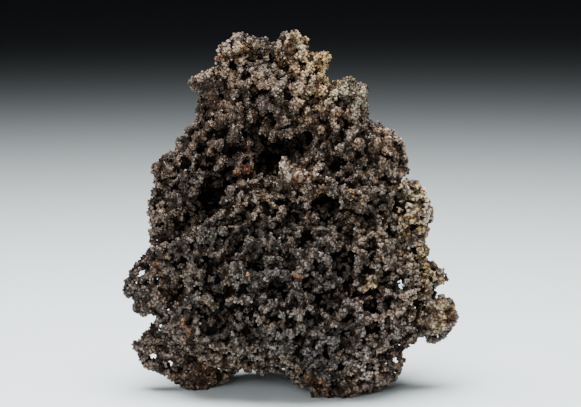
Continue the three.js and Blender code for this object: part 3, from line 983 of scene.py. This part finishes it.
# %% The zone group
zone_group = Tree("Zone", {"Vector": "Centre", "Float": "Reach, Edge"}, {"Float": "Mask"})
t = zone_group
place = t.add("ShaderNodeTexCoord").outputs["Object"]
wobble = t.times(t.minus(t.noise(place, 4.0 * MM, 2.0), 0.5), t["Edge"])
far = t.plus(t.vector("DISTANCE", place, t["Centre"]), wobble)
t.feed(t.result["Mask"], t.ramped(t.over(far, t["Reach"]), 0.5, 1.2, 1.0, 0.0))

# %% Materials


class Material(Tree):
    """A material's own node tree, with the same short calls, and its shader."""

    def __init__(self, name):
        self.material = bpy.data.materials.new(name)
        self.material.use_nodes = True
        self.group = self.material.node_tree
        self.shader = self.group.nodes["Principled BSDF"].inputs


def crystal_material(name, zones, colours, shares):
    """A finish for crystals. Each zone is a centre and a reach in mm, and the colour of the tips in it."""
    m = Material(name)
    colours = {label: (*colour, 1.0) for label, colour in colours.items()}
    for centre, reach, colour in zones:
        centre = [value * MM for value in centre]
        mask = m.group_node(zone_group, Centre=centre, Reach=reach * MM, Edge=0.6 * reach * MM)[0]
        colours["Tip"] = m.mixed(mask, colours["Tip"], (*colour, 1.0))
    crystal = m.group_node(skin_group, **colours, **shares)
    m.feed(m.shader["Base Color"], crystal["Color"])
    m.feed(m.shader["Roughness"], crystal["Roughness"])
    values = {"Height": crystal["Height"], "Strength": 1.0, "Distance": 0.26 * MM}
    m.feed(m.shader["Normal"], m.out("ShaderNodeBump", values))
    m.feed(m.shader["Specular IOR Level"], crystal["Specular"])
    m.shader["Specular Tint"].default_value = (1.0, 0.93, 0.86, 1.0)
    return m.material


# %% The three crystal finishes
GREY_ZONES = [
    ((-1, 0, 50), 12, (0.16, 0.125, 0.095)), ((4.6, 0, 43), 7, (0.29, 0.22, 0.155)),
    ((3.8, 0, 50), 6, (0.55, 0.4, 0.26)), ((-11, 0, 49.5), 5, (0.3, 0.225, 0.175)),
    ((-10, -4, 41), 8, (0.085, 0.056, 0.04)), ((-3, -8, 39), 6, (0.12, 0.085, 0.065)),
    ((2, -14, 14), 15, (0.11, 0.094, 0.089)), ((12.5, -9, 22), 5.5, (0.2, 0.155, 0.12)),
    ((14, -8, 15), 8, (0.29, 0.23, 0.2)), ((-4, -13, 4), 5, (0.26, 0.215, 0.19)),
    ((-12.5, -8, 3), 5, (0.21, 0.15, 0.115)), ((12, -12, 3), 5, (0.32, 0.26, 0.22)),
    ((-18, -4, 8), 9, (0.155, 0.11, 0.09)), ((-13, -8, 12), 6, (0.105, 0.085, 0.077)),
    ((-23, 0, 15), 6, (0.08, 0.063, 0.058)), ((-20, 0, 28), 6, (0.155, 0.115, 0.09)),
    ((-4, -12, 22), 6, (0.07, 0.06, 0.055)), ((-12, -9, 24), 7, (0.066, 0.053, 0.046)),
    ((20, 0, 20), 10, (0.28, 0.225, 0.17)), ((19, 0, 28), 6, (0.55, 0.46, 0.36)),
    ((16, 0, 36), 6, (0.27, 0.2, 0.155)), ((1.4, -10, 34), 4.5, (0.22, 0.17, 0.13)),
    ((-0.8, -10.3, 34.6), 2.2, (0.37, 0.31, 0.25)),
]
HONEY_ZONES = [
    ((9.5, -3, 44.5), 6, (0.34, 0.31, 0.21)), ((19.5, 0, 29), 5, (0.4, 0.36, 0.24)),
    ((1, -14, 24), 14, (0.2, 0.15, 0.08)), ((23, 0, 12), 6, (0.3, 0.23, 0.14)),
]
RUSTY_ZONES = [
    ((-14, -6, 5), 8, (0.2, 0.12, 0.06)), ((-6.8, -9, 34), 3.5, (0.17, 0.075, 0.036)),
    ((0.9, -10, 32.6), 2, (0.36, 0.18, 0.11)),
]
# Each finish's recess colour is near black, as painted shade. Its gap shade is how dark the painted shade
# along the beads' edges goes.
colours = {"Tip": (0.13, 0.1, 0.08), "Recess": (0.004, 0.0016, 0.0004), "Odd": (0.08, 0.05, 0.03)}
shares = {"Odd_share": 0.08, "Gloss_share": 0.2, "Gap_shade": 0.16}
grey = crystal_material("grey crystals", GREY_ZONES, colours, shares)
colours = {"Tip": (0.47, 0.33, 0.16), "Recess": (0.01, 0.006, 0.002), "Odd": (0.34, 0.32, 0.24)}
shares = {"Odd_share": 0.15, "Gloss_share": 0.35, "Gap_shade": 0.4}
honey = crystal_material("honey crystals", HONEY_ZONES, colours, shares)
colours = {"Tip": (0.12, 0.062, 0.032), "Recess": (0.012, 0.004, 0.0015), "Odd": (0.26, 0.12, 0.05)}
shares = {"Odd_share": 0.2, "Gloss_share": 0.2, "Gap_shade": 0.2}
rusty = crystal_material("rusty crystals", RUSTY_ZONES, colours, shares)

# %% The painted shade of what lies behind
m = Material("shade-painted skeleton")
place = m.add("ShaderNodeTexCoord").outputs["Object"]
# Near black with faint blotches: painted shade, for the network deep inside the mass where shade falls.
blotch = m.ramped(m.noise(place, 1.5 * MM), 0.4, 0.7)
m.feed(m.shader["Base Color"], m.mixed(blotch, (0.0012, 0.0006, 0.0003, 1.0), (0.005, 0.002, 0.0006, 1.0)))
m.shader["Roughness"].default_value = 0.7
m.shader["Specular IOR Level"].default_value = 0.05
skeleton.data.materials.clear()
skeleton.data.materials.append(m.material)

# %% Put the crystals on
SIZES = {"Smallest": 0.26 * MM, "Largest": 0.58 * MM}
pieces = []


def counted(attributes, finish, region):
    """How many elements have a finish, and a region unless it is None."""
    finishes = [round(item.value) for item in attributes["finish"].data]
    regions = [item.value for item in attributes["region"].data]
    return sum(f == finish and region in (None, r) for f, r in zip(finishes, regions))


def add_crystals(name, finish, material, slot, region=None):
    """A piece: the crystals of a finish and the surface under them, in one region or everywhere."""
    crystal_count = counted(seats.data.attributes, finish, region)
    face_count = counted(seen.data.attributes, finish, region)
    across = math.ceil(math.sqrt(crystal_count + face_count / 9)) + 2  # nine faces share a crystal's square
    values = {"Surface": seen, "Shapes": shapes, "Material": material, "Cells_across": float(across)}
    values |= {"Finish": float(finish), "Region": region or 0, "Any_region": region is None}
    made = grown(crystal_tree, seats, name, **values, **SIZES)
    triangles = sum(len(face.vertices) - 2 for face in made.data.polygons)
    print(f"{name}: {crystal_count} crystals, {face_count} faces under them, {triangles} triangles")
    pieces.append((made, slot))


for number, region_name in enumerate(REGIONS):
    add_crystals(region_name + "_crystals", 0, grey, "grey_crystals", region=number)
add_crystals("honey_crystals", 1, honey, "honey_crystals")
add_crystals("rusty_crystals", 2, rusty, "rusty_crystals")
pieces.append((skeleton, "dark_sponge"))

# %% Pieces and the frame
for piece, slot in pieces:
    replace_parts(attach(piece, "root"), "crystal_mass")
helpers = (skin, hollows, lumps, fine, seen, seats, honey_marks, rust_marks, region_marks)
for helper in (*helpers, *shapes.objects):
    bpy.data.objects.remove(helper)
bpy.data.collections.remove(shapes)
